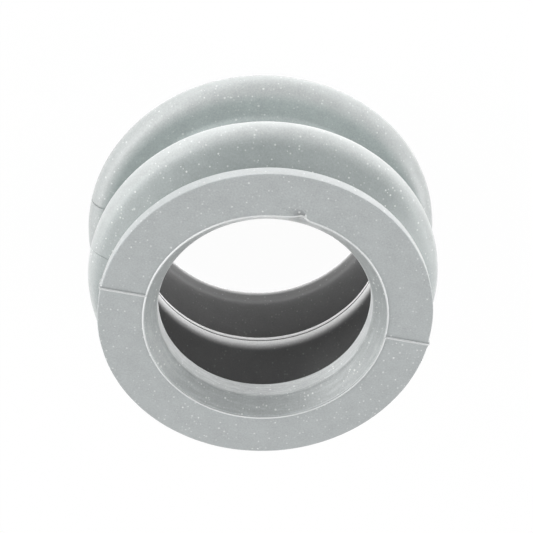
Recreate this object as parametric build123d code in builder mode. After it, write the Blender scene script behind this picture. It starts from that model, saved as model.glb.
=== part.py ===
"""Dishwasher drain seal: a one-piece rubber bellows with a flange and a pipe collar at one end.

Millimetres, +Z up.  The seal stands on the flat ring of its tail, with the flange on top.
The origin is the centre of that ring, on the axis of the seal.

The outside is moulded in two halves that meet in the XZ plane.  The half on the +Y side
sits a little higher than the other, which leaves a fine step down both sides of the seal.
The inside is moulded round one core, so it has no step.
"""
from build123d import *
from math import asin, atan2, cos, hypot, sin
import os

os.makedirs("parts", exist_ok=True)

# Whole seal
length = 41.2                  # tail ring to flange face, on the -Y half
wall = 1.9                     # rubber wall of the bellows and the tail
parting_step = 0.3             # how much higher the +Y half sits

# Flange
flange_radius = 27.5
flange_thickness = 2.35
flange_edge_round = 0.2
neck_radius = 23.65            # outside, behind the flange
neck_round = 0.8

# Pipe collar in the middle of the flange: a lead-in cone, then a straight bore
mouth_radius = 20.1
lead_in_depth = 3.2            # flange face to the start of the straight bore
lead_in_round = 1.5            # soft corner between the cone and the bore
pipe_bore_radius = 17.75
pipe_bore_length = 3.0
collar_back_radius = 22.6      # of the flat back of the collar
collar_back_round = 0.8

# Fin of flash round the mouth
flash_height = 0.18
flash_width = 0.45

# First convolution, counted from the flange.  Depths are measured down from the flange face.
front_slope_depth = 6.1        # where its front slope leaves the neck
front_crest_depth = 12.35
front_crest_radius = 29.9
front_crest_round = 3.3

# Fold between the convolutions: a valley outside and a ridge inside
valley_depth = 23.1
valley_radius = 24.1
valley_round = 1.25
ridge_depth = 24.2
ridge_radius = 21.2             # inside
ridge_round = 2.0

# Second convolution
rear_crest_depth = 27.5
rear_crest_radius = 30.8
rear_crest_round = 3.2

# Tail
tail_radius = 23.65            # outside
tail_length = 2.6              # straight part
tail_round = 1.4               # outside, between the rear slope and the tail
tail_edge_round = 0.35

# Torn gate in the flange face, on the -Y side of the mouth
gate_width = 1.3               # of its floor
gate_reach = 0.7               # of its floor, outwards across the face
gate_depth = 0.4
gate_draft = 30                # slope of its sides, in degrees
gate_foot = mouth_radius + flash_width

# How far the cutting shapes run past the rubber
overrun = 1.0


def crest(radius, depth, rounding):
    """A turn that bulges away from the axis: its centre, and its rounding with a minus sign."""
    return radius - rounding, length - depth, -rounding


def valley(radius, depth, rounding):
    """A turn that bulges towards the axis."""
    return radius + rounding, length - depth, rounding


def corner(radius, height):
    """A plain corner, as a turn with no rounding."""
    return radius, height, 0


def straight_run(first, second):
    """End points of the line that leaves one turn and meets the next one without a kink."""
    step_out = second[0] - first[0]
    step_up = second[1] - first[1]
    heading = atan2(step_up, step_out) - asin((second[2] - first[2]) / hypot(step_out, step_up))
    across = (-sin(heading), cos(heading))
    start = (first[0] - first[2] * across[0], first[1] - first[2] * across[1])
    end = (second[0] - second[2] * across[0], second[1] - second[2] * across[1])
    return start, end


def outline(turns):
    """Draw a closed profile through its turns, with a line for each run and an arc for each rounding."""
    runs = [straight_run(first, second) for first, second in zip(turns, turns[1:] + turns[:1])]
    for index, (centre_out, centre_up, rounding) in enumerate(turns):
        Line(*runs[index])
        if rounding:
            begin = runs[index - 1][1]
            finish = runs[index][0]
            middle_out = (begin[0] + finish[0]) / 2 - centre_out
            middle_up = (begin[1] + finish[1]) / 2 - centre_up
            reach = abs(rounding) / hypot(middle_out, middle_up)
            crown = (centre_out + middle_out * reach, centre_up + middle_up * reach)
            ThreePointArc(begin, crown, finish)


def outside(lift):
    """Profile of the rubber before it is cored, for a half that sits higher by lift."""
    face = length + lift
    turns = [
        corner(0, face + flash_height),
        corner(mouth_radius, face + flash_height),
        corner(mouth_radius + flash_width, face),
        crest(flange_radius, flange_edge_round - lift, flange_edge_round),
        crest(flange_radius, flange_thickness - flange_edge_round - lift, flange_edge_round),
        valley(neck_radius, flange_thickness + neck_round - lift, neck_round),
        valley(neck_radius, front_slope_depth - lift, neck_round),
        crest(front_crest_radius, front_crest_depth - lift, front_crest_round),
        valley(valley_radius, valley_depth - lift, valley_round),
        crest(rear_crest_radius, rear_crest_depth - lift, rear_crest_round),
        valley(tail_radius, length - tail_length - lift, tail_round),
        corner(tail_radius, 0),
        corner(0, 0),
    ]
    outline(turns)


def inside():
    """Profile of the core: mouth, lead-in, pipe bore, two cavities and the bore of the tail."""
    top = length + parting_step + flash_height + overrun
    collar_back = length - lead_in_depth - pipe_bore_length
    turns = [
        corner(0, top),
        corner(mouth_radius, top),
        corner(mouth_radius, length),
        valley(pipe_bore_radius, lead_in_depth, lead_in_round),
        corner(pipe_bore_radius, collar_back),
        crest(collar_back_radius, length - collar_back + collar_back_round, collar_back_round),
        crest(front_crest_radius - wall, front_crest_depth, front_crest_round - wall),
        valley(ridge_radius, ridge_depth, ridge_round),
        crest(rear_crest_radius - wall, rear_crest_depth, rear_crest_round - wall),
        valley(tail_radius - wall, length - tail_length, tail_round + wall),
        corner(tail_radius - wall, -overrun),
        corner(0, -overrun),
    ]
    outline(turns)


# Two outside halves about the parting plane, then the core taken out of both
with BuildPart() as drain_seal:
    for lift, turning in ((0, -180), (parting_step, 180)):
        with BuildSketch(Plane.XZ):
            with BuildLine():
                outside(lift)
            make_face()
        revolve(axis=Axis.Z, revolution_arc=turning)
    with BuildSketch(Plane.XZ):
        with BuildLine():
            inside()
        make_face()
    revolve(axis=Axis.Z, mode=Mode.SUBTRACT)

    # The tail stands on a ring with soft edges
    fillet(drain_seal.edges().group_by(Axis.Z)[0], tail_edge_round)

    # A wedge torn out of the face where the gate was, just outside the flash
    with BuildSketch(Plane.XY.offset(length - gate_depth)):
        with BuildLine():
            Polyline(
                (-gate_width / 2, -gate_foot),
                (gate_width / 2, -gate_foot),
                (0, -gate_foot - gate_reach),
                close=True,
            )
        make_face()
    extrude(amount=gate_depth + overrun, taper=-gate_draft, mode=Mode.SUBTRACT)

drain_seal.part.label = "drain_seal"
export_step(drain_seal.part, "parts/drain_seal.step")
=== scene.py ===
"""Looks of the dishwasher drain seal: a one-piece rubber bellows with a flange and a pipe collar.

Metres, +Z up.  The seal stands on the ring of its tail, with its axis on Z and the flange on top.
Its outside comes from two mould halves that meet in a plane along X and Z, a little to the -Y side
of the axis, and the +Y half sits a little higher.  Its inside comes from one core.
"""

import math

import bpy
from mathutils import Matrix, Vector


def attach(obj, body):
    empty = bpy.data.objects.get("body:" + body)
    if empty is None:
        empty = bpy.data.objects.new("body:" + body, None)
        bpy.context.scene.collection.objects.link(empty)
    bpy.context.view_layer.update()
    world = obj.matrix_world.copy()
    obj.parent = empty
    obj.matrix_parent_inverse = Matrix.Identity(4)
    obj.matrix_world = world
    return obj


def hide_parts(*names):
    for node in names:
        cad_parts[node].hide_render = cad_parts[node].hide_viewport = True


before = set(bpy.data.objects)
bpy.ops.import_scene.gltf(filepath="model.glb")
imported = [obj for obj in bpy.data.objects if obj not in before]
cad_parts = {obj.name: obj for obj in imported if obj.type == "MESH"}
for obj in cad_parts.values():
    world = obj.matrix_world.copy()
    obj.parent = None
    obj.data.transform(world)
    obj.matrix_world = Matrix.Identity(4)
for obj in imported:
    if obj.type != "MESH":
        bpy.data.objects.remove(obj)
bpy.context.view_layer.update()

MM = 0.001

# ---------------------------------------------------------------- sizes of the seal, in millimetres
LENGTH = 41.2                  # tail ring to flange face, on the -Y half
WALL = 1.9
PARTING_STEP = 0.3             # how much higher the +Y half sits
PARTING_SHIFT = 0.9            # from the axis to the plane where the mould halves meet, towards -Y
FRONT_STEP_SHARE = 0.3         # of the step that is left on the front lobe, where the halves meet softly

FLANGE_RADIUS = 27.5
FLANGE_THICKNESS = 2.35
FLANGE_EDGE_ROUND = 0.22
NECK_RADIUS = 23.65
NECK_ROUND = 0.8

MOUTH_RADIUS = 19.9
LEAD_IN_DEPTH = 3.2
LEAD_IN_ROUND = 1.5
PIPE_BORE_RADIUS = 17.75
PIPE_BORE_LENGTH = 3.0
COLLAR_BACK_RADIUS = 22.6
COLLAR_BACK_ROUND = 0.8

FLASH_HEIGHT = 0.17
FLASH_FOOT = 0.1               # height of its inner edge, which stands straight over the lip
FLASH_WIDTH = 0.34

FRONT_SLOPE_DEPTH = 6.1
FRONT_CREST_DEPTH = 12.35
FRONT_CREST_RADIUS = 29.8
FRONT_CREST_ROUND = 3.3

VALLEY_DEPTH = 23.1
VALLEY_RADIUS = 24.1
VALLEY_ROUND = 1.25
RIDGE_DEPTH = 24.2
RIDGE_RADIUS = 21.2
RIDGE_ROUND = 2.0              # under the middle of the ridge
RIDGE_UPPER_ROUND = 5.2        # over it, a little higher up
RIDGE_UPPER_LIFT = 0.1

REAR_CREST_DEPTH = 27.5
REAR_CREST_RADIUS = 30.73
REAR_CREST_ROUND = 3.2

TAIL_RADIUS = 23.65
TAIL_LENGTH = 2.6
TAIL_ROUND = 1.4
TAIL_EDGE_ROUND = 0.35
TAIL_INNER_LENGTH = 2.0        # straight part inside
TAIL_MOUTH_ROUND = 0.95        # inside, at the end of the tail
TAIL_MOUTH_FLARE = 0.1         # how far the core runs out past that round, just under the tail ring
TAIL_MOUTH_DROP = 0.01

# Mould line round the ridge inside
RIDGE_LINE_LIFT = 0.33         # above the middle of the ridge
RIDGE_LINE_WIDTH = 0.24
RIDGE_LINE_GROOVE = 0.09

# Torn gate in the flange face, just outside the fin of flash: a hollow with a long shallow end
GATE_AZIMUTH = -91.9           # of the hollow, in degrees from +X
GATE_RADIUS = 21.1
GATE_RISE = 0.06               # of the middle of the hollow over the face
GATE_SCOOP = (0.8, 0.6, 0.26)  # half sizes of the hollow: along the fin, out from it, and deep
SHALLOW_SCOOP = (2.1, 0.62, 0.3)
SHALLOW_SHIFT = 1.3            # how far the shallow end lies to the +X side
TIP_AZIMUTH = -93.4            # of the torn tip that stands up from the fin
TIP_PULL = 0.42
TIP_RISE = 0.16
TIP_SPREAD = 1.2
BULGE_AZIMUTH = -91.0          # of the stretch of fin beside the tip that was dragged outwards
BULGE_PULL = 0.4
BULGE_SPREAD = 3.2

# Flash that stands out from the rim of the flange at both ends of the parting line
RIM_FLASH = 0.3
RIM_FLASH_SPREAD = 0.55

# Unevenness of the moulding
FIN_WAVE = 0.1
FIN_WAVE_LENGTH = 1.1
SKIN_WAVE = 0.07
SKIN_WAVE_LENGTH = 8.0

# How finely the seal is spun, and how far the core runs past the rubber
FULL_TURN_STEPS = 264
LONGEST_STRETCH = 1.6
UNBROKEN = 100.0               # longer than any run that touches the axis
COARSEST_STEP = math.radians(7.5)
WELD_DISTANCE = 0.002
OVERRUN = 1.0
HALVES_OVERLAP = 0.005         # so that the two halves weld cleanly
CUT_TOLERANCE = 0.001          # how near a point counts as lying in the cut, so that the cut is flat
SHARPEST_SMOOTH = 35           # degrees between two faces that are still shaded as one

# How the points that are moved or marked are told from the others
RING_TOLERANCE = 0.01          # in the height of a ring of points
RIDGE_REACH = 0.5              # out from the ridge
PARTING_TOLERANCE = 0.01       # past the parting plane, before the upper half begins
FIN_LOWEST = 0.04              # over the face
FIN_REACH = 0.016              # to each side along the fin, as a share of its radius
RIM_REACH = 0.6                # in from the rim
RIM_END_REACH = 0.02           # to each side of the parting plane
RIM_BACK_MARGIN = 0.1          # over the back of the flange
SKIN_LOWEST = 1.5              # over the tail ring, which stays flat
FACING_UP_SHARE = 0.2          # how much a face that looks up counts as facing outwards
COLLAR_BACK_MARGIN = 0.05


# ---------------------------------------------------------------- drawing and spinning the section
def crest(radius, depth, rounding):
    """A turn of the section that bulges away from the axis."""
    return radius - rounding, LENGTH - depth, -rounding


def valley(radius, depth, rounding):
    """A turn of the section that bulges towards the axis."""
    return radius + rounding, LENGTH - depth, rounding


def corner(radius, height):
    """A sharp turn of the section."""
    return radius, height, 0.0


def outside_turns(lift):
    """Turns of the rubber before it is cored, from mouth to tail, for a half that sits higher by lift."""
    face = LENGTH + lift
    return [
        corner(0.0, face + FLASH_FOOT),
        corner(MOUTH_RADIUS - FLASH_WIDTH, face + FLASH_FOOT),
        corner(MOUTH_RADIUS + FLASH_WIDTH / 2, face + FLASH_HEIGHT),
        corner(MOUTH_RADIUS + FLASH_WIDTH, face),
        crest(FLANGE_RADIUS, FLANGE_EDGE_ROUND - lift, FLANGE_EDGE_ROUND),
        crest(FLANGE_RADIUS, FLANGE_THICKNESS - FLANGE_EDGE_ROUND - lift, FLANGE_EDGE_ROUND),
        valley(NECK_RADIUS, FLANGE_THICKNESS + NECK_ROUND - lift, NECK_ROUND),
        valley(NECK_RADIUS, FRONT_SLOPE_DEPTH - lift * FRONT_STEP_SHARE, NECK_ROUND),
        crest(FRONT_CREST_RADIUS, FRONT_CREST_DEPTH - lift * FRONT_STEP_SHARE, FRONT_CREST_ROUND),
        valley(VALLEY_RADIUS, VALLEY_DEPTH - lift, VALLEY_ROUND),
        crest(REAR_CREST_RADIUS, REAR_CREST_DEPTH - lift, REAR_CREST_ROUND),
        valley(TAIL_RADIUS, LENGTH - TAIL_LENGTH - lift, TAIL_ROUND),
        crest(TAIL_RADIUS, LENGTH - TAIL_EDGE_ROUND, TAIL_EDGE_ROUND),
        corner(0.0, 0.0),
    ]


def core_turns():
    """Turns of the core that shapes the inside, from the mouth down to the tail."""
    top = LENGTH + PARTING_STEP + FLASH_HEIGHT + OVERRUN
    collar_back = LEAD_IN_DEPTH + PIPE_BORE_LENGTH
    tail_edge = TAIL_RADIUS - WALL + TAIL_MOUTH_ROUND
    return [
        corner(0.0, top),
        corner(MOUTH_RADIUS, top),
        corner(MOUTH_RADIUS, LENGTH),
        valley(PIPE_BORE_RADIUS, LEAD_IN_DEPTH, LEAD_IN_ROUND),
        corner(PIPE_BORE_RADIUS, LENGTH - collar_back),
        crest(COLLAR_BACK_RADIUS, collar_back + COLLAR_BACK_ROUND, COLLAR_BACK_ROUND),
        crest(FRONT_CREST_RADIUS - WALL, FRONT_CREST_DEPTH, FRONT_CREST_ROUND - WALL),
        valley(RIDGE_RADIUS, RIDGE_DEPTH - RIDGE_UPPER_LIFT, RIDGE_UPPER_ROUND),
        valley(RIDGE_RADIUS, RIDGE_DEPTH, RIDGE_ROUND),
        crest(REAR_CREST_RADIUS - WALL, REAR_CREST_DEPTH, REAR_CREST_ROUND - WALL),
        valley(TAIL_RADIUS - WALL, LENGTH - TAIL_INNER_LENGTH, TAIL_ROUND + WALL),
        valley(TAIL_RADIUS - WALL, LENGTH - TAIL_MOUTH_ROUND, TAIL_MOUTH_ROUND),
        corner(tail_edge + TAIL_MOUTH_FLARE, -TAIL_MOUTH_DROP),
        corner(tail_edge, -OVERRUN),
        corner(0.0, -OVERRUN),
    ]


def straight_run(first, second):
    """Ends of the straight run that leaves one turn and meets the next without a kink."""
    step_out = second[0] - first[0]
    step_up = second[1] - first[1]
    slant = math.asin((second[2] - first[2]) / math.hypot(step_out, step_up))
    heading = math.atan2(step_up, step_out) - slant
    across = Vector((-math.sin(heading), 0.0, math.cos(heading)))
    start = Vector((first[0], 0.0, first[1])) - first[2] * across
    end = Vector((second[0], 0.0, second[1])) - second[2] * across
    return start, end


def deselect_everything():
    """Deselect all pieces, so that the next command works on one of them alone."""
    bpy.ops.object.select_all(action="DESELECT")


def start_point(name, place):
    """A piece that is one point so far, at a place in the XZ plane in millimetres."""
    deselect_everything()
    bpy.ops.mesh.primitive_plane_add(size=MM)
    piece = bpy.context.object
    piece.name = name
    bpy.ops.object.mode_set(mode="EDIT")
    bpy.ops.mesh.merge(type="CENTER")
    bpy.ops.transform.translate(value=place * MM)
    return piece


def draw_run(start, end, longest):
    """Draw the selected point out along a straight run, in stretches no longer than longest."""
    count = max(1, math.ceil((end - start).length / longest))
    for _ in range(count):
        step = (end - start) / count * MM
        bpy.ops.mesh.extrude_region_move(TRANSFORM_OT_translate={"value": step})


def draw_round(turn, begin, finish):
    """Sweep the selected point round a turn."""
    centre = Vector((turn[0], 0.0, turn[1]))
    first = begin - centre
    last = finish - centre
    sweep = math.atan2(first.x * last.z - first.z * last.x, first.dot(last))
    steps = max(2, math.ceil(abs(sweep) / COARSEST_STEP))
    bpy.ops.mesh.spin(steps=steps, angle=sweep, center=centre * MM, axis=(0.0, 1.0, 0.0))


def draw_section(name, turns):
    """Draw a section through its turns, from the axis out and back to the axis."""
    runs = [straight_run(first, second) for first, second in zip(turns, turns[1:])]
    piece = start_point(name, runs[0][0])
    for index, (start, end) in enumerate(runs):
        on_axis = turns[index][0] == 0 or index + 1 == len(runs)
        draw_run(start, end, UNBROKEN if on_axis else LONGEST_STRETCH)
        if turns[index + 1][2]:
            draw_round(turns[index + 1], end, runs[index + 1][0])
    bpy.ops.mesh.select_all(action="SELECT")
    bpy.ops.mesh.remove_doubles(threshold=WELD_DISTANCE * MM)
    return piece


def select_points(piece, chosen):
    """Select the points of the piece that the test chooses, and leave the piece in edit mode."""
    if piece.mode == "EDIT":
        bpy.ops.object.mode_set(mode="OBJECT")
    deselect_everything()
    bpy.context.view_layer.objects.active = piece
    piece.select_set(True)
    bpy.ops.object.mode_set(mode="EDIT")
    bpy.ops.mesh.select_mode(type="VERT")
    bpy.ops.mesh.select_all(action="DESELECT")
    bpy.ops.object.mode_set(mode="OBJECT")
    for point in piece.data.vertices:
        point.select = chosen(point.co / MM)
    bpy.ops.object.mode_set(mode="EDIT")


def cut_ridge_line(body):
    """Press a fine groove into the ridge, where the parts of the core meet."""
    middle = LENGTH - RIDGE_DEPTH
    near_ridge = [
        point.co.z / MM
        for point in body.data.vertices
        if math.hypot(point.co.x, point.co.y) < (RIDGE_RADIUS + RIDGE_REACH) * MM
        and abs(point.co.z / MM - middle) < RIDGE_ROUND
    ]
    level = min(near_ridge, key=lambda height: abs(height - middle - RIDGE_LINE_LIFT))

    def on_line(place):
        return abs(place.z - level) < RING_TOLERANCE and place.xy.length < RIDGE_RADIUS + RIDGE_REACH

    select_points(body, on_line)
    bpy.ops.transform.translate(value=(0.0, 0.0, (middle + RIDGE_LINE_LIFT - level) * MM))
    level = middle + RIDGE_LINE_LIFT
    bpy.ops.mesh.bevel(offset=RIDGE_LINE_WIDTH / 2 * MM, segments=2, affect="EDGES")
    select_points(body, on_line)
    deeper = 1 + RIDGE_LINE_GROOVE / RIDGE_RADIUS
    bpy.ops.transform.resize(value=(deeper, deeper, 1.0), center_override=(0.0, 0.0, 0.0))
    bpy.ops.object.mode_set(mode="OBJECT")


def spin_body(name, turns):
    """Draw a section through its turns and spin it all the way round the axis."""
    body = draw_section(name, turns)
    bpy.ops.mesh.spin(steps=FULL_TURN_STEPS, angle=2 * math.pi, center=(0.0, 0.0, 0.0), axis=(0.0, 0.0, 1.0))
    bpy.ops.mesh.select_all(action="SELECT")
    bpy.ops.mesh.remove_doubles(threshold=WELD_DISTANCE * MM)
    bpy.ops.mesh.dissolve_degenerate(threshold=WELD_DISTANCE * MM)
    bpy.ops.mesh.normals_make_consistent(inside=False)
    bpy.ops.object.mode_set(mode="OBJECT")
    return body


def keep_half(body, side):
    """Cut the body through the plane where the mould halves meet, and keep its side of it."""
    select_points(body, lambda place: True)
    bpy.ops.mesh.bisect(
        plane_co=(0.0, -(PARTING_SHIFT + side * HALVES_OVERLAP) * MM, 0.0),
        plane_no=(0.0, 1.0, 0.0),
        use_fill=True,
        threshold=CUT_TOLERANCE * MM,
        clear_outer=side < 0,
        clear_inner=side > 0,
    )
    bpy.ops.mesh.select_all(action="SELECT")
    bpy.ops.mesh.normals_make_consistent(inside=False)
    bpy.ops.object.mode_set(mode="OBJECT")
    return body


def combine(piece, other, operation):
    """Weld another piece on, or cut it out, and clear it away."""
    deselect_everything()
    bpy.context.view_layer.objects.active = piece
    piece.select_set(True)
    joint = piece.modifiers.new("joint", "BOOLEAN")
    joint.operation = operation
    joint.solver = "MANIFOLD"
    joint.object = other
    bpy.ops.object.modifier_apply(modifier=joint.name)
    bpy.data.objects.remove(other)


def flat_direction(azimuth):
    """The flat direction at an azimuth in degrees from +X."""
    return Vector((math.cos(math.radians(azimuth)), math.sin(math.radians(azimuth)), 0.0))


def quarter_turn(direction):
    """The flat direction a quarter turn on from another."""
    return Vector((-direction.y, direction.x, 0.0))


def gate_hollow(name, along, half_sizes):
    """A smooth lump that stands where rubber was torn out of the face."""
    deselect_everything()
    bpy.ops.mesh.primitive_uv_sphere_add(segments=24, ring_count=12, radius=MM)
    lump = bpy.context.object
    lump.name = name
    bpy.ops.object.mode_set(mode="EDIT")
    bpy.ops.transform.resize(value=half_sizes)
    out = flat_direction(GATE_AZIMUTH)
    place = out * GATE_RADIUS + quarter_turn(out) * along + Vector((0.0, 0.0, LENGTH + GATE_RISE))
    bpy.ops.transform.translate(value=place * MM)
    bpy.ops.object.mode_set(mode="OBJECT")
    return lump


def pull(piece, chosen, move, spread):
    """Pull the chosen points, and let the rubber round them follow."""
    select_points(piece, chosen)
    bpy.ops.transform.translate(
        value=move * MM,
        use_proportional_edit=True,
        proportional_edit_falloff="SHARP",
        proportional_size=spread * MM,
    )
    bpy.ops.object.mode_set(mode="OBJECT")


def make_uneven(piece, name, chosen, wave, wave_length, direction):
    """Lower the chosen points by up to one wave, with a soft noise."""
    area = piece.vertex_groups.new(name=name)
    area.add([point.index for point in piece.data.vertices if chosen(point.co / MM)], 1.0, "REPLACE")
    clouds = bpy.data.textures.new(name, "CLOUDS")
    clouds.noise_scale = wave_length * MM
    clouds.noise_depth = 1
    uneven = piece.modifiers.new(name, "DISPLACE")
    uneven.texture = clouds
    uneven.vertex_group = name
    uneven.direction = direction
    uneven.mid_level = 1.0
    uneven.strength = wave * MM
    bpy.ops.object.modifier_apply(modifier=name)
    piece.vertex_groups.clear()


def on_fin(place):
    """Test for the points of the fin of flash round the mouth."""
    level = LENGTH + (PARTING_STEP if place.y > -PARTING_SHIFT + PARTING_TOLERANCE else 0.0)
    return place.z > level + FIN_LOWEST and place.xy.length < MOUTH_RADIUS + FLASH_WIDTH


def on_fin_at(azimuth):
    """Test for the points of the fin at an azimuth."""
    outwards = flat_direction(azimuth)
    return lambda place: on_fin(place) and (place.xy.normalized() - outwards.xy).length < FIN_REACH


def at_rim_end(side):
    """Test for the points of the upper half's rim at one end of the parting line."""
    return lambda place: (
        place.x * side > FLANGE_RADIUS - RIM_REACH
        and abs(place.y + PARTING_SHIFT) < RIM_END_REACH
        and place.z > LENGTH - FLANGE_THICKNESS + RIM_BACK_MARGIN
    )


def on_skin(place):
    """Test for the points that the unevenness of the skin moves."""
    return place.z > SKIN_LOWEST and not on_fin(place)


def split_wide_faces(piece):
    """Split the faces with many sides into triangles while they are flat, so that they can bend."""
    select_points(piece, lambda place: False)
    bpy.ops.mesh.select_mode(type="FACE")
    bpy.ops.mesh.select_face_by_sides(number=4, type="GREATER")
    bpy.ops.mesh.quads_convert_to_tris(ngon_method="CLIP")
    bpy.ops.mesh.select_mode(type="VERT")
    bpy.ops.object.mode_set(mode="OBJECT")


def mark_inside(piece):
    """Record which points lie inside, between the collar and the tail, where the rubber is painted dark as
    painted shade, with less dust and more gloss.
    """
    inside = piece.data.attributes.new("inside", "FLOAT", "POINT")
    collar_back = LENGTH - LEAD_IN_DEPTH - PIPE_BORE_LENGTH
    for point in piece.data.vertices:
        facing_out = point.co.xy.normalized().dot(point.normal.xy) + FACING_UP_SHARE * point.normal.z
        under_collar = point.co.z < (collar_back - COLLAR_BACK_MARGIN) * MM
        inside.data[point.index].value = float(facing_out < 0 and under_collar)


def mould_seal():
    """Two mould halves welded into one piece of rubber, cored, with the gate torn off."""
    rubber = keep_half(spin_body("rubber_seal", outside_turns(0.0)), -1)
    combine(rubber, keep_half(spin_body("upper_half", outside_turns(PARTING_STEP)), 1), "UNION")
    core = spin_body("core", core_turns())
    cut_ridge_line(core)
    combine(rubber, core, "DIFFERENCE")
    combine(rubber, gate_hollow("gate_hollow", 0.0, GATE_SCOOP), "DIFFERENCE")
    combine(rubber, gate_hollow("shallow_hollow", SHALLOW_SHIFT, SHALLOW_SCOOP), "DIFFERENCE")
    split_wide_faces(rubber)
    make_uneven(rubber, "fin_wave", on_fin, FIN_WAVE, FIN_WAVE_LENGTH, "Z")
    pull(rubber, on_fin_at(BULGE_AZIMUTH), flat_direction(BULGE_AZIMUTH) * BULGE_PULL, BULGE_SPREAD)
    torn_out = flat_direction(TIP_AZIMUTH) * TIP_PULL + Vector((0.0, 0.0, TIP_RISE))
    pull(rubber, on_fin_at(TIP_AZIMUTH), torn_out, TIP_SPREAD)
    for side in (-1, 1):
        pull(rubber, at_rim_end(side), Vector((side * RIM_FLASH, 0.0, 0.0)), RIM_FLASH_SPREAD)
    make_uneven(rubber, "skin_wave", on_skin, SKIN_WAVE, SKIN_WAVE_LENGTH, "NORMAL")
    select_points(rubber, lambda place: True)
    bpy.ops.mesh.normals_make_consistent(inside=False)
    bpy.ops.object.mode_set(mode="OBJECT")
    mark_inside(rubber)
    return rubber


seal = mould_seal()
bpy.ops.object.shade_smooth_by_angle(angle=math.radians(SHARPEST_SMOOTH))


# ---------------------------------------------------------------- rubber
# The crests are painted greyer, as part of their painted highlight
LOBE_GREY = (0.266, 0.297, 0.293, 1.0)
HIGHLIT_CREST_GREY = (0.269, 0.283, 0.281, 1.0)
FLANGE_GREY = (0.318, 0.336, 0.338, 1.0)
CONE_GREY = (0.234, 0.250, 0.249, 1.0)
# The inside is painted dark as painted shade; the ridge over its line and the end of the tail are painted
# pale as painted highlights, and the ridge under its line dark as painted shade
INSIDE_SHADE_GREY = (0.078, 0.078, 0.078, 1.0)
RIDGE_HIGHLIGHT_GREY = (0.38, 0.38, 0.38, 1.0)
RIDGE_UNDERSIDE_SHADE_GREY = (0.10, 0.10, 0.10, 1.0)
TAIL_END_HIGHLIGHT_GREY = (0.28, 0.28, 0.28, 1.0)
DUST = (0.72, 0.73, 0.72, 1.0)
# Pale of the marks and streaks in the collar, and of the painted highlight on the pipe bore
RUB_AND_HIGHLIGHT_PALE = (0.50, 0.52, 0.52, 1.0)
# Painted highlight colour of the fin of flash and the edge of the upper half
FLASH_HIGHLIGHT_COLOUR = (0.66, 0.67, 0.67, 1.0)

# Lobes: the tone changes from one to the other over the fold between them. The front lobe is darker with
# painted shade, and its crest paler with a painted highlight.
FOLD_BELOW = 2.0
FOLD_ABOVE = 4.0
CREST_HIGHLIGHT_RADIUS = 27.3             # where the painted highlight and grey of the crests start
CREST_HIGHLIGHT_MARGIN = 0.2              # and how far inside the front crest they are full
# Painted shade darkens the front lobe, and a painted highlight makes its crest paler
REAR_LOBE_TONE = 1.15
FRONT_LOBE_PAINTED_SHADE = 0.37
CREST_PAINTED_HIGHLIGHT = 0.45

# Flange: painted shade darkens its rim a little
FLANGE_MARGIN = 0.1            # how far under the flange its colour still reaches
RIM_MARGIN = 0.06
RIM_PAINTED_SHADE = 0.06

# Inside, between the collar and the tail: painted dark as painted shade, with painted highlights over the
# line on the ridge and at the end of the tail
RIDGE_FADE = (0.06, 0.7)       # out from the ridge, where its painted highlight and shade fade away
NEAR_TAIL = (2.9, 3.9)         # heights between which painted shade darkens the inside towards the tail
TAIL_PAINTED_SHADE = 0.78
TAIL_END = (0.65, 1.85)        # heights between which the painted highlight at the end of the tail fades away

# Inside of the collar: marks round the axis, and the pipe bore painted pale with a painted highlight
BORE_END_MARGIN = 0.1
MOUTH_MARGIN = 0.05
BORE_FADE = 0.4                # out from the pipe bore, where its streaks and painted highlight fade away
BORE_PAINTED_HIGHLIGHT = 0.17
BORE_STREAKS = 0.4
CONE_MARKS = 0.16

# Painted shade on the face beside the torn tip at the gate
TORN_LENGTH = 2.3              # along the fin
TORN_START = (-0.32, -0.2)     # along the fin too, where it begins beside the tip
TORN_FADE = (0.4, 1.7)         # out from the fin
TORN_EDGE = 0.05               # in from the foot of the fin, where it begins
GATE_PAINTED_SHADE = 0.5

# Painted highlight on the flash, and painted shade beside the edge of the upper half
FIN_COLOUR_HEIGHT = 0.03       # over the face, where the fin's painted highlight begins
FIN_FOOT_MARGIN = 0.02         # out from the mouth, where the painted highlight line and its painted shade begin
EDGE_MIDDLE = 0.07             # from the parting plane to the middle of the painted highlight line
EDGE_FADE = (0.07, 0.14)       # from that middle, where the line fades away
EDGE_HIGHLIGHT_STRENGTH = 0.9
SHADE_WIDTH = 0.45
SHADE_DARKER = 0.3
FLASH_HIGHLIGHT_STRENGTH = 0.65

# Patterns of the grain, of a speck of dust and of the streaks
FINE_SHARE = 0.9
CLOUD_SHARE = 0.5
GRAIN_OFFSET = 0.2
SMALLEST_SPECK = 0.5           # as a share of the size
SPECK_CORE = 1.8               # the more this is over 1, the wider a speck is at full strength
FAINTEST_SPECK = 0.15
STREAK_LENGTH = 0.1
STREAK_LEAN = 0.6              # how much the radius counts as depth, for streaks on a slope
STREAK_MASK = (0.42, 0.72)

# Grain, dust and gloss
GRAIN_TONE = 0.75
GRAIN_DEPTH = 0.5
FINE_DUST = 0.55
COARSE_DUST = 0.85
INSIDE_CLEANER = 0.8
ROUGHNESS = 0.36
GRAIN_ROUGHER = 0.16
DUST_ROUGHER = 0.35
INSIDE_GLOSSIER = 0.12
TAIL_ROUGHER = 0.6
ROUGH_TAIL = (1.5, 4.5)        # heights between which the tail's roughness fades away
DUST_RELIEF = 0.8
RELIEF_HEIGHT = 0.025


def add_node(tree, kind, **settings):
    """A shader node with its settings, as one call."""
    node = tree.nodes.new(kind)
    for name, value in settings.items():
        setattr(node, name, value)
    return node


def set_inputs(node, **values):
    """Set a node's inputs by name, with _ for a space."""
    for name, value in values.items():
        node.inputs[name.replace("_", " ")].default_value = value
    return node


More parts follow.
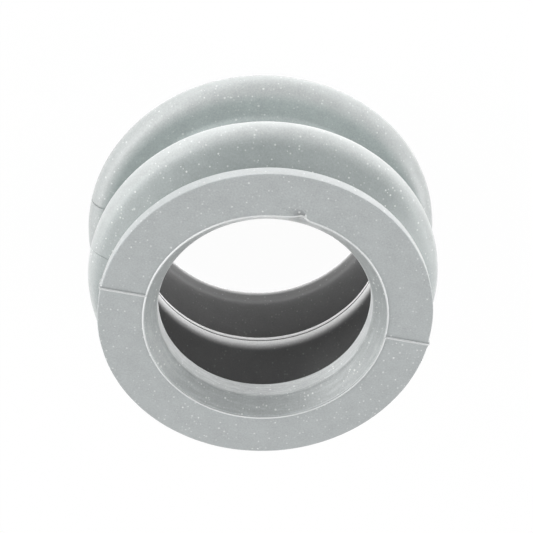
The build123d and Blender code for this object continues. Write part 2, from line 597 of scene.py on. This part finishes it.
def feed(tree, socket, value):
    """Give an input a value of its own, or link it to an output."""
    if isinstance(value, (int, float, tuple)):
        socket.default_value = value
    else:
        tree.links.new(value, socket)


def math_node(tree, operation, first, second=None, clamp=False):
    """A Math node between two values or outputs."""
    node = add_node(tree, "ShaderNodeMath", operation=operation, use_clamp=clamp)
    feed(tree, node.inputs[0], first)
    if second is not None:
        feed(tree, node.inputs[1], second)
    return node.outputs[0]


def product(tree, first, *others):
    """All the values multiplied, one after the other."""
    for other in others:
        first = math_node(tree, "MULTIPLY", first, other)
    return first


def total(tree, first, second, clamp=False):
    """Two values added."""
    return math_node(tree, "ADD", first, second, clamp)


def difference(tree, first, second, clamp=False):
    """The first value less the second."""
    return math_node(tree, "SUBTRACT", first, second, clamp)


def opposite(tree, mask):
    """1 where the mask is 0, and 0 where it is 1."""
    return difference(tree, 1.0, mask)


def dimmed(tree, mask, amount):
    """A tone of 1, and less by the amount where the mask is 1."""
    return opposite(tree, product(tree, mask, amount))


def over(tree, length, limit):
    """1 where a length is greater than a limit in millimetres."""
    return math_node(tree, "GREATER_THAN", length, limit * MM)


def under(tree, length, limit):
    """1 where a length is less than a limit in millimetres."""
    return math_node(tree, "LESS_THAN", length, limit * MM)


def ramp(tree, value, low, high):
    """0 below low, 1 above high and a soft step between."""
    node = add_node(tree, "ShaderNodeMapRange", interpolation_type="SMOOTHSTEP")
    set_inputs(node, From_Min=low, From_Max=high)
    tree.links.new(value, node.inputs["Value"])
    return node.outputs["Result"]


def fade_in(tree, length, low, high):
    """A soft step from 0 to 1 between two lengths in millimetres."""
    return ramp(tree, length, low * MM, high * MM)


def fade_out(tree, length, low, high):
    """A soft step from 1 to 0 between two lengths in millimetres."""
    return opposite(tree, fade_in(tree, length, low, high))


def split_place(tree, place):
    """A place's parts along the axes, the place without its height, and its distance from the axis."""
    parts = add_node(tree, "ShaderNodeSeparateXYZ")
    tree.links.new(place, parts.inputs[0])
    flat = add_node(tree, "ShaderNodeCombineXYZ")
    tree.links.new(parts.outputs["X"], flat.inputs["X"])
    tree.links.new(parts.outputs["Y"], flat.inputs["Y"])
    radius = add_node(tree, "ShaderNodeVectorMath", operation="LENGTH")
    tree.links.new(flat.outputs[0], radius.inputs[0])
    return parts.outputs, flat.outputs[0], radius.outputs["Value"]


def new_group(name, inputs, outputs):
    """An empty node group with number inputs, a Place input and number outputs."""
    group = bpy.data.node_groups.new(name, "ShaderNodeTree")
    group.interface.new_socket("Place", in_out="INPUT", socket_type="NodeSocketVector")
    for label, value in inputs.items():
        socket = group.interface.new_socket(label, in_out="INPUT", socket_type="NodeSocketFloat")
        socket.default_value = value
    for label in outputs:
        group.interface.new_socket(label, in_out="OUTPUT", socket_type="NodeSocketFloat")
    return group, add_node(group, "NodeGroupInput"), add_node(group, "NodeGroupOutput")


def noise(tree, place, scale, detail, roughness):
    """Values of a noise, about 0.5 in the middle."""
    node = add_node(tree, "ShaderNodeTexNoise")
    set_inputs(node, Detail=detail, Roughness=roughness)
    tree.links.new(place, node.inputs["Vector"])
    feed(tree, node.inputs["Scale"], scale)
    return node.outputs["Fac"]


def moulding_grain():
    """Fine unevenness of moulded rubber: a shade that varies from 0 to 1, and a height."""
    inputs = {"Fine Scale": 3400.0, "Cloud Scale": 420.0}
    group, start, end = new_group("moulding_grain", inputs, ("Shade", "Height"))
    fine = noise(group, start.outputs["Place"], start.outputs["Fine Scale"], 2.0, 0.6)
    cloud = noise(group, start.outputs["Place"], start.outputs["Cloud Scale"], 4.0, 0.6)
    shade = total(group, product(group, fine, FINE_SHARE), product(group, cloud, CLOUD_SHARE))
    group.links.new(difference(group, shade, GRAIN_OFFSET), end.inputs["Shade"])
    group.links.new(fine, end.inputs["Height"])
    return group


def dust_specks():
    """Pale specks of dust: a mask with one speck in a share of the cells of a pattern."""
    inputs = {"Scale": 1500.0, "Share": 0.3, "Size": 0.18}
    group, start, end = new_group("dust_specks", inputs, ("Mask",))
    cells = add_node(group, "ShaderNodeTexVoronoi", feature="F1")
    set_inputs(cells, Randomness=1.0)
    group.links.new(start.outputs["Place"], cells.inputs["Vector"])
    group.links.new(start.outputs["Scale"], cells.inputs["Scale"])
    pick = add_node(group, "ShaderNodeSeparateColor")
    group.links.new(cells.outputs["Color"], pick.inputs["Color"])
    chosen = math_node(group, "LESS_THAN", pick.outputs["Red"], start.outputs["Share"])
    size = product(group, start.outputs["Size"], total(group, pick.outputs["Green"], SMALLEST_SPECK))
    from_middle = math_node(group, "DIVIDE", cells.outputs["Distance"], size)
    in_speck = difference(group, 1.0, from_middle, clamp=True)
    soft = math_node(group, "MULTIPLY", in_speck, SPECK_CORE, clamp=True)
    strength = product(group, soft, total(group, pick.outputs["Blue"], FAINTEST_SPECK, clamp=True))
    group.links.new(product(group, strength, chosen), end.inputs["Mask"])
    return group


def core_streaks():
    """Fine marks that run round the axis, left by the core and by fitting: a mask."""
    group, start, end = new_group("core_streaks", {"Along": 60.0, "Across": 5200.0}, ("Mask",))
    parts, flat, radius = split_place(group, start.outputs["Place"])
    direction = add_node(group, "ShaderNodeVectorMath", operation="NORMALIZE")
    group.links.new(flat, direction.inputs[0])
    around = add_node(group, "ShaderNodeVectorMath", operation="SCALE")
    group.links.new(direction.outputs[0], around.inputs[0])
    group.links.new(product(group, start.outputs["Along"], STREAK_LENGTH), around.inputs["Scale"])
    depth = total(group, parts["Z"], product(group, radius, STREAK_LEAN))
    across = add_node(group, "ShaderNodeCombineXYZ")
    group.links.new(product(group, depth, start.outputs["Across"]), across.inputs["Z"])
    place = add_node(group, "ShaderNodeVectorMath", operation="ADD")
    group.links.new(around.outputs[0], place.inputs[0])
    group.links.new(across.outputs[0], place.inputs[1])
    streaks = noise(group, place.outputs[0], 1.0, 3.0, 0.55)
    group.links.new(ramp(group, streaks, *STREAK_MASK), end.inputs["Mask"])
    return group


def use_group(tree, group, place, **values):
    """A node that holds a group, fed with a place and this material's own values."""
    node = add_node(tree, "ShaderNodeGroup", node_tree=group)
    tree.links.new(place, node.inputs["Place"])
    return set_inputs(node, **values)


def blend_colour(tree, mask, first, second):
    """Blend from one colour to another by a mask."""
    node = add_node(tree, "ShaderNodeMix", data_type="RGBA")
    tree.links.new(mask, node.inputs["Factor"])
    for name, value in (("A", first), ("B", second)):
        socket = next(i for i in node.inputs if i.name == name and i.type == "RGBA")
        feed(tree, socket, value)
    return next(o for o in node.outputs if o.type == "RGBA")


def shade_colour(tree, tone, colour):
    """Darken or lighten a colour by a tone."""
    node = add_node(tree, "ShaderNodeHueSaturation")
    tree.links.new(tone, node.inputs["Value"])
    feed(tree, node.inputs["Color"], colour)
    return node.outputs["Color"]


def aligned(tree, place, direction):
    """How far a place lies along a direction."""
    node = add_node(tree, "ShaderNodeVectorMath", operation="DOT_PRODUCT")
    tree.links.new(place, node.inputs[0])
    node.inputs[1].default_value = direction
    return node.outputs["Value"]


def colour_lobes(tree, height, radius):
    """The lobes are greener on their slopes and grey on their crests, with painted shade on the front lobe
    and a painted highlight on its crest.
    """
    fold = LENGTH - VALLEY_DEPTH
    front = fade_in(tree, height, fold - FOLD_BELOW, fold + FOLD_ABOVE)
    crest_highlight = fade_in(tree, radius, CREST_HIGHLIGHT_RADIUS, FRONT_CREST_RADIUS - CREST_HIGHLIGHT_MARGIN)
    tone = difference(tree, REAR_LOBE_TONE, product(tree, front, FRONT_LOBE_PAINTED_SHADE))
    tone = total(tree, tone, product(tree, front, crest_highlight, CREST_PAINTED_HIGHLIGHT))
    return shade_colour(tree, tone, blend_colour(tree, crest_highlight, LOBE_GREY, HIGHLIT_CREST_GREY))


def colour_flange(tree, radius):
    """The rim of the flange is painted a little darker than its face, as painted shade."""
    on_rim = over(tree, radius, FLANGE_RADIUS - RIM_MARGIN)
    return shade_colour(tree, dimmed(tree, on_rim, RIM_PAINTED_SHADE), FLANGE_GREY)


def colour_inside(tree, height, radius):
    """The inside is painted dark as painted shade, darker towards the tail, with a painted highlight over
    the line on the ridge and at the end of the tail, and painted shade under the line.
    """
    over_line = over(tree, height, LENGTH - RIDGE_DEPTH + RIDGE_LINE_LIFT)
    ridge = blend_colour(tree, over_line, RIDGE_UNDERSIDE_SHADE_GREY, RIDGE_HIGHLIGHT_GREY)
    near, far = RIDGE_FADE
    off_ridge = fade_in(tree, radius, RIDGE_RADIUS + near, RIDGE_RADIUS + far)
    near_tail = fade_out(tree, height, *NEAR_TAIL)
    hollow = shade_colour(tree, dimmed(tree, near_tail, TAIL_PAINTED_SHADE), INSIDE_SHADE_GREY)
    hollow = blend_colour(tree, fade_in(tree, height, *TAIL_END), TAIL_END_HIGHLIGHT_GREY, hollow)
    return blend_colour(tree, off_ridge, ridge, hollow)


def rub_and_highlight_collar(tree, place, height, radius, colour):
    """The lead-in cone has soft marks round the axis, and the pipe bore is streaked and painted pale as a
    painted highlight.
    """
    bore_end = LENGTH - LEAD_IN_DEPTH - PIPE_BORE_LENGTH
    over_end = over(tree, height, bore_end - BORE_END_MARGIN)
    in_collar = product(tree, over_end, under(tree, radius, MOUTH_RADIUS - MOUTH_MARGIN))
    colour = blend_colour(tree, in_collar, colour, CONE_GREY)
    on_bore = fade_out(tree, radius, PIPE_BORE_RADIUS, PIPE_BORE_RADIUS + BORE_FADE)
    streaks = use_group(tree, core_streaks(), place, Along=60.0, Across=5200.0)
    marks = use_group(tree, streaks.node_tree, place, Along=40.0, Across=1500.0)
    bore_streaks_and_highlight = total(tree, product(tree, streaks.outputs["Mask"], BORE_STREAKS), BORE_PAINTED_HIGHLIGHT)
    bore_streaks_and_highlight = product(tree, on_bore, bore_streaks_and_highlight)
    cone_rub = product(tree, marks.outputs["Mask"], CONE_MARKS)
    rubbed_and_highlit = product(tree, in_collar, math_node(tree, "MAXIMUM", bore_streaks_and_highlight, cone_rub))
    return blend_colour(tree, rubbed_and_highlit, colour, RUB_AND_HIGHLIGHT_PALE)


def paint_shade_at_gate(tree, place, colour):
    """Painted shade beside the torn tip, which fades away along the fin and out from it."""
    tip = flat_direction(TIP_AZIMUTH)
    along = aligned(tree, place, quarter_turn(tip))
    out = difference(tree, aligned(tree, place, tip), (MOUTH_RADIUS + FLASH_WIDTH) * MM)
    torn = product(
        tree,
        fade_out(tree, along, 0.0, TORN_LENGTH),
        fade_out(tree, out, *TORN_FADE),
        fade_in(tree, along, *TORN_START),
        fade_in(tree, out, -TORN_EDGE, 0.0),
    )
    return shade_colour(tree, dimmed(tree, torn, GATE_PAINTED_SHADE), colour)


def paint_flash_highlight_and_shade(tree, height, past_parting, on_face, colour):
    """A painted highlight on the flash, the fin round the mouth and the edge of the upper half, with painted
    shade beside it.
    """
    step_up = product(tree, over(tree, past_parting, 0.0), PARTING_STEP * MM)
    over_face = difference(tree, difference(tree, height, LENGTH * MM), step_up)
    fin = over(tree, over_face, FIN_COLOUR_HEIGHT)
    from_edge = math_node(tree, "ABSOLUTE", difference(tree, past_parting, EDGE_MIDDLE * MM))
    edge = product(tree, fade_out(tree, from_edge, *EDGE_FADE), on_face)
    lower_half = under(tree, past_parting, 0.0)
    beside = product(tree, fade_in(tree, past_parting, -SHADE_WIDTH, 0.0), lower_half, on_face)
    colour = shade_colour(tree, dimmed(tree, beside, SHADE_DARKER), colour)
    flash = math_node(tree, "MAXIMUM", fin, product(tree, edge, EDGE_HIGHLIGHT_STRENGTH))
    return blend_colour(tree, product(tree, flash, FLASH_HIGHLIGHT_STRENGTH), colour, FLASH_HIGHLIGHT_COLOUR)


def settle_dust(tree, place, inside):
    """Fine and coarse specks of dust, with fewer of them to be seen inside: a mask."""
    fine = use_group(tree, dust_specks(), place, Scale=1800.0, Share=0.36, Size=0.28)
    coarse = use_group(tree, fine.node_tree, place, Scale=620.0, Share=0.25, Size=0.12)
    fine_dust = product(tree, fine.outputs["Mask"], FINE_DUST)
    coarse_dust = product(tree, coarse.outputs["Mask"], COARSE_DUST)
    dust = math_node(tree, "MAXIMUM", fine_dust, coarse_dust)
    return product(tree, dust, dimmed(tree, inside, INSIDE_CLEANER))


def make_matt(tree, height, inside, shade, dust):
    """The rubber is matt, more so where it is dusty and in the tail, and glossier in the hollow lobes."""
    matt = total(tree, product(tree, shade, GRAIN_ROUGHER), ROUGHNESS)
    in_tail = fade_out(tree, height, *ROUGH_TAIL)
    inside_gloss = difference(tree, INSIDE_GLOSSIER, product(tree, in_tail, TAIL_ROUGHER))
    matt = difference(tree, matt, product(tree, inside, inside_gloss))
    return total(tree, matt, product(tree, dust, DUST_ROUGHER))


def moulded_rubber():
    """Grey moulded rubber with a fine grain, pale dust, and streaks on the inside of the collar."""
    material = bpy.data.materials.new("moulded_rubber")
    material.use_nodes = True
    tree = material.node_tree
    place = add_node(tree, "ShaderNodeTexCoord").outputs["Object"]
    parts, _, radius = split_place(tree, place)
    height = parts["Z"]
    past_parting = total(tree, parts["Y"], PARTING_SHIFT * MM)
    on_flange = over(tree, height, LENGTH - FLANGE_THICKNESS - FLANGE_MARGIN)
    on_face = product(tree, over(tree, radius, MOUTH_RADIUS + FIN_FOOT_MARGIN), on_flange)
    inside = add_node(tree, "ShaderNodeAttribute", attribute_name="inside").outputs["Fac"]
    grain = use_group(tree, moulding_grain(), place)
    grain_tone = total(tree, product(tree, grain.outputs["Shade"], GRAIN_DEPTH), GRAIN_TONE)

    colour = blend_colour(tree, on_flange, colour_lobes(tree, height, radius), colour_flange(tree, radius))
    colour = blend_colour(tree, inside, colour, colour_inside(tree, height, radius))
    colour = rub_and_highlight_collar(tree, place, height, radius, colour)
    colour = shade_colour(tree, grain_tone, colour)
    colour = paint_shade_at_gate(tree, place, colour)
    colour = paint_flash_highlight_and_shade(tree, height, past_parting, on_face, colour)
    dust = settle_dust(tree, place, inside)
    colour = blend_colour(tree, dust, colour, DUST)
    matt = make_matt(tree, height, inside, grain.outputs["Shade"], dust)

    bump = add_node(tree, "ShaderNodeBump")
    set_inputs(bump, Strength=0.6, Distance=RELIEF_HEIGHT * MM)
    relief = total(tree, grain.outputs["Height"], product(tree, dust, DUST_RELIEF))
    tree.links.new(relief, bump.inputs["Height"])

    shader = tree.nodes["Principled BSDF"]
    tree.links.new(colour, shader.inputs["Base Color"])
    tree.links.new(matt, shader.inputs["Roughness"])
    tree.links.new(bump.outputs[0], shader.inputs["Normal"])
    set_inputs(shader, Specular_IOR_Level=0.6, Sheen_Weight=0.6, Sheen_Roughness=0.35)
    return material


seal.data.materials.clear()
seal.data.materials.append(moulded_rubber())
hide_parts("drain_seal")
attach(seal, "root")

# ---------------------------------------------------------------- camera
CAMERA_PLACE = Vector((37.85, -136.09, 242.04)) * MM
CAMERA_BACK = Vector((0.1485, -0.5248, 0.8382)).normalized()
CAMERA_UP = Vector((0.1719, -0.8210, -0.5444))
CAMERA_LENS = 101.31
SENSOR_WIDTH = 36.0
NEAREST_SEEN = 0.005


def stand_camera():
    """The camera looks down at the mouth from the -Y side, and stands on its head."""
    right = CAMERA_UP.cross(CAMERA_BACK).normalized()
    up = CAMERA_BACK.cross(right)
    turn = Matrix((right, up, CAMERA_BACK)).transposed().to_4x4()
    camera = bpy.data.cameras.new("camera")
    camera.lens = CAMERA_LENS
    camera.sensor_width = SENSOR_WIDTH
    camera.clip_start = NEAREST_SEEN
    stand = bpy.data.objects.new("camera", camera)
    stand.matrix_world = Matrix.Translation(CAMERA_PLACE) @ turn
    bpy.context.scene.collection.objects.link(stand)
    bpy.context.scene.camera = stand


stand_camera()


# ---------------------------------------------------------------- floor, backdrop and light
FLOOR_RADIUS = 2.0
FLOOR_GREY = (0.8, 0.8, 0.8, 1.0)
FLOOR_WHITENESS = 0.97         # how far the floor shows white; the rest of it takes the shadow
ROOM_WHITE = (1.0, 1.0, 1.0, 1.0)
ROOM_LEVEL = 0.35              # how strongly the room lights the seal
SEAL_MIDDLE = Vector((0.0, 0.0, 0.03))
UP = Vector((0.0, 0.0, 1.0))


def seen_directly(tree):
    """1 for rays that show the surroundings as they are: from the camera, off a gloss or through glass."""
    rays = add_node(tree, "ShaderNodeLightPath").outputs
    first = math_node(tree, "MAXIMUM", rays["Is Camera Ray"], rays["Is Glossy Ray"])
    return math_node(tree, "MAXIMUM", first, rays["Is Transmission Ray"])


def lay_floor():
    """A pale floor that shows white, with a little of the seal's shadow."""
    deselect_everything()
    bpy.ops.mesh.primitive_circle_add(vertices=96, radius=FLOOR_RADIUS, fill_type="NGON")
    floor = bpy.context.object
    floor.name = "floor"
    material = bpy.data.materials.new("pale_floor")
    material.use_nodes = True
    tree = material.node_tree
    tree.nodes.clear()
    paint = set_inputs(add_node(tree, "ShaderNodeBsdfDiffuse"), Color=FLOOR_GREY)
    glow = set_inputs(add_node(tree, "ShaderNodeEmission"), Strength=1.0)
    mix = add_node(tree, "ShaderNodeMixShader")
    tree.links.new(product(tree, seen_directly(tree), FLOOR_WHITENESS), mix.inputs["Fac"])
    tree.links.new(paint.outputs[0], mix.inputs[1])
    tree.links.new(glow.outputs[0], mix.inputs[2])
    output = add_node(tree, "ShaderNodeOutputMaterial")
    tree.links.new(mix.outputs[0], output.inputs["Surface"])
    floor.data.materials.append(material)


def light_room():
    """A world that shows white and lights the seal at a plain level."""
    world = bpy.data.worlds.new("white_room")
    bpy.context.scene.world = world
    world.use_nodes = True
    tree = world.node_tree
    sky = set_inputs(tree.nodes["Background"], Color=ROOM_WHITE)
    strength = add_node(tree, "ShaderNodeMix", data_type="FLOAT")
    set_inputs(strength, A=ROOM_LEVEL, B=1.0)
    tree.links.new(seen_directly(tree), strength.inputs["Factor"])
    tree.links.new(strength.outputs["Result"], sky.inputs["Strength"])


def place_light(name, place, towards, size, power):
    """A soft rectangular light at a place, shining along a direction, that no picture shows."""
    lamp = bpy.data.lights.new(name, "AREA")
    lamp.shape = "RECTANGLE"
    lamp.size = size[0]
    lamp.size_y = size[1]
    lamp.energy = power
    holder = bpy.data.objects.new(name, lamp)
    holder.location = place
    holder.rotation_euler = towards.to_track_quat("-Z", "Y").to_euler()
    holder.visible_camera = False
    bpy.context.scene.collection.objects.link(holder)
    return lamp


def hang_light(name, azimuth, elevation, power, distance=0.55, size=(0.28, 0.28)):
    """A soft light that faces the seal from a direction given in degrees."""
    turn = math.radians(azimuth)
    rise = math.radians(elevation)
    away = Vector((math.cos(turn) * math.cos(rise), math.sin(turn) * math.cos(rise), math.sin(rise)))
    place_light(name, SEAL_MIDDLE + away * distance, -away, size, power)


lay_floor()
light_room()
hang_light("light_left", 0.0, 20.0, 1.57)
hang_light("light_left_front", 30.0, 20.0, 0.91)
hang_light("light_left_back", 330.0, 20.0, 1.35)
hang_light("light_right", 180.0, 20.0, 1.77)
hang_light("light_right_front", 150.0, 20.0, 0.56)
hang_light("high_light_left", 60.0, 50.0, 0.187, size=(0.3, 0.3))
hang_light("high_light_right", 120.0, 50.0, 0.088, size=(0.3, 0.3))
hang_light("high_light_back", 240.0, 50.0, 0.628, size=(0.3, 0.3))
hang_light("back_light", 240.0, 14.0, 0.0754, 0.4, (0.25, 0.08))
hang_light("low_light", 240.0, 3.0, 0.127, 0.25, (0.16, 0.06))
place_light("floor_light", Vector((0.0, -0.075, 0.001)), UP, (0.30, 0.08), 0.130)
place_light("floor_light_left", Vector((0.085, -0.085, 0.001)), UP, (0.10, 0.10), 0.0317)
place_light("floor_light_right", Vector((-0.085, -0.085, 0.001)), UP, (0.10, 0.10), 0.0167)
light_in_tail = place_light("light_in_tail", Vector((0.0, 0.0, 0.0003)), UP, (0.0436, 0.0436), 0.0171)
light_in_tail.shape = "DISK"
bpy.context.scene.view_settings.view_transform = "Standard"
